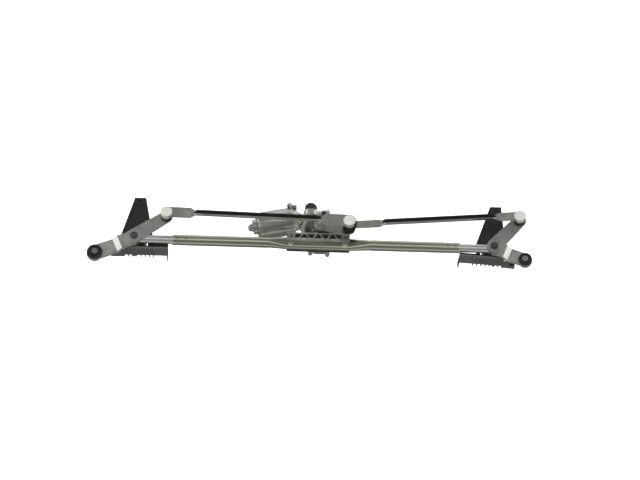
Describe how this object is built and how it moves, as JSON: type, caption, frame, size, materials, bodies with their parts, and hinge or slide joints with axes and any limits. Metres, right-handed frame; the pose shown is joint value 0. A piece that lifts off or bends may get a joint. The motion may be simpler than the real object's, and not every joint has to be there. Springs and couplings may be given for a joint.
{
  "type": "windshield wiper assembly",
  "caption": "Tubular wiper frame with a worm-geared motor, crank, link rods, levers and wiper shafts in die-cast housings with rubber-bushed eyes.",
  "frame": {"origin": "on the output shaft's axis, where the isolator spigot leaves the gear cover", "axes": "+X along the frame tube towards the right pivot, +Y from the tube towards the motor, +Z from the gear cover towards the crank and levers; the wiper shafts point along -Z"},
  "size_m": [0.9129, 0.1575, 0.1143],
  "materials": {
    "zinc_tube": "yellowish zinc plate, satin",
    "zinc_steel": "bright zinc plate",
    "lever_steel": "dull zinc plate",
    "rod_steel": "dull zinc plate",
    "dark_steel": "blackened",
    "can_steel": "drawn and plated",
    "cast_metal": "die-cast, rough",
    "bronze": "sintered",
    "brass_pins": "bright",
    "windings": "enamelled copper",
    "ferrite": "sintered, matt",
    "rubber": "matt",
    "black_plastic": "moulded, fine texture",
    "grey_plastic": "moulded",
    "white_plastic": "moulded, off-white"
  },
  "bodies": {
    "frame": {"frame_tube": "zinc_tube", "tube_rivets": "zinc_steel", "center_bracket": "cast_metal", "bracket_screws": "dark_steel", "pivot_housing_left": "cast_metal", "pivot_housing_right": "cast_metal", "pivot_bushes_left": "bronze", "pivot_bushes_right": "bronze", "grommet_left": "rubber", "grommet_right": "rubber", "grommet_sleeve_left": "zinc_steel", "grommet_sleeve_right": "zinc_steel", "cowl_bracket_left": "black_plastic", "cowl_bracket_right": "black_plastic", "gear_housing": "cast_metal", "gear_cover": "cast_metal", "cover_screws": "dark_steel", "isolator": "rubber", "output_bush": "bronze", "shaft_seal": "rubber", "vent_cap": "rubber", "drain_clip": "black_plastic", "motor_can": "can_steel", "can_screws": "dark_steel", "motor_magnets": "ferrite", "end_bearing": "bronze", "brush_card": "black_plastic", "brushes": "ferrite", "connector_housing": "grey_plastic", "connector_pins": "brass_pins"},
    "crank": {"output_shaft": "zinc_steel", "worm_wheel": "white_plastic", "crank_arm": "lever_steel", "crank_nut": "zinc_steel", "crank_ball_stud": "zinc_steel"},
    "left_rod": {"link_rod_left": "rod_steel", "socket_crank_left": "white_plastic", "socket_lever_left": "white_plastic", "boots_left": "rubber", "lever_ball_stud_left": "zinc_steel"},
    "right_rod": {"link_rod_right": "rod_steel", "socket_crank_right": "black_plastic", "socket_lever_right": "white_plastic", "boots_right": "rubber", "lever_ball_stud_right": "zinc_steel"},
    "left_lever": {"lever_left": "lever_steel", "pivot_shaft_left": "dark_steel", "retaining_rings_left": "zinc_steel"},
    "right_lever": {"lever_right": "lever_steel", "pivot_shaft_right": "dark_steel", "retaining_rings_right": "zinc_steel"},
    "armature": {"armature_shaft": "zinc_steel", "armature_core": "windings", "commutator": "windings"}
  },
  "joints": [
    {"name": "crank_turn", "type": "hinge", "parent": "frame", "child": "crank", "pos_m": [0, 0, 0.048], "axis": [0, 0, 1], "range_deg": [0, 180]},
    {"name": "left_lever_turn", "type": "hinge", "parent": "frame", "child": "left_lever", "pos_m": [-0.382, -0.039, 0.048], "axis": [0, 0, 1], "range_deg": [0, 94.6]},
    {"name": "right_lever_turn", "type": "hinge", "parent": "frame", "child": "right_lever", "pos_m": [0.3565, -0.039, 0.048], "axis": [0, 0, 1], "range_deg": [0, 93.3]},
    {"name": "left_rod_swing", "type": "hinge", "parent": "crank", "child": "left_rod", "pos_m": [0.05836, -0.00717, 0.08], "axis": [0, 0, 1], "range_deg": [-179.9, 0]},
    {"name": "right_rod_swing", "type": "hinge", "parent": "crank", "child": "right_rod", "pos_m": [0.05836, -0.00717, 0.065], "axis": [0, 0, 1], "range_deg": [-184.7, 0]},
    {"name": "armature_spin", "type": "hinge", "parent": "frame", "child": "armature", "pos_m": [-0.00845, 0.03843, 0.017], "axis": [0.9767, 0.2147, 0], "range_deg": [0, 9721]}
  ],
  "couplings": [
    {"joint": "left_lever_turn", "follows": "crank_turn", "ratio": 0.52519},
    {"joint": "right_lever_turn", "follows": "crank_turn", "ratio": 0.51803},
    {"joint": "left_rod_swing", "follows": "crank_turn", "ratio": -0.99918},
    {"joint": "right_rod_swing", "follows": "crank_turn", "ratio": -1.0256},
    {"joint": "armature_spin", "follows": "crank_turn", "ratio": 54}
  ]
}
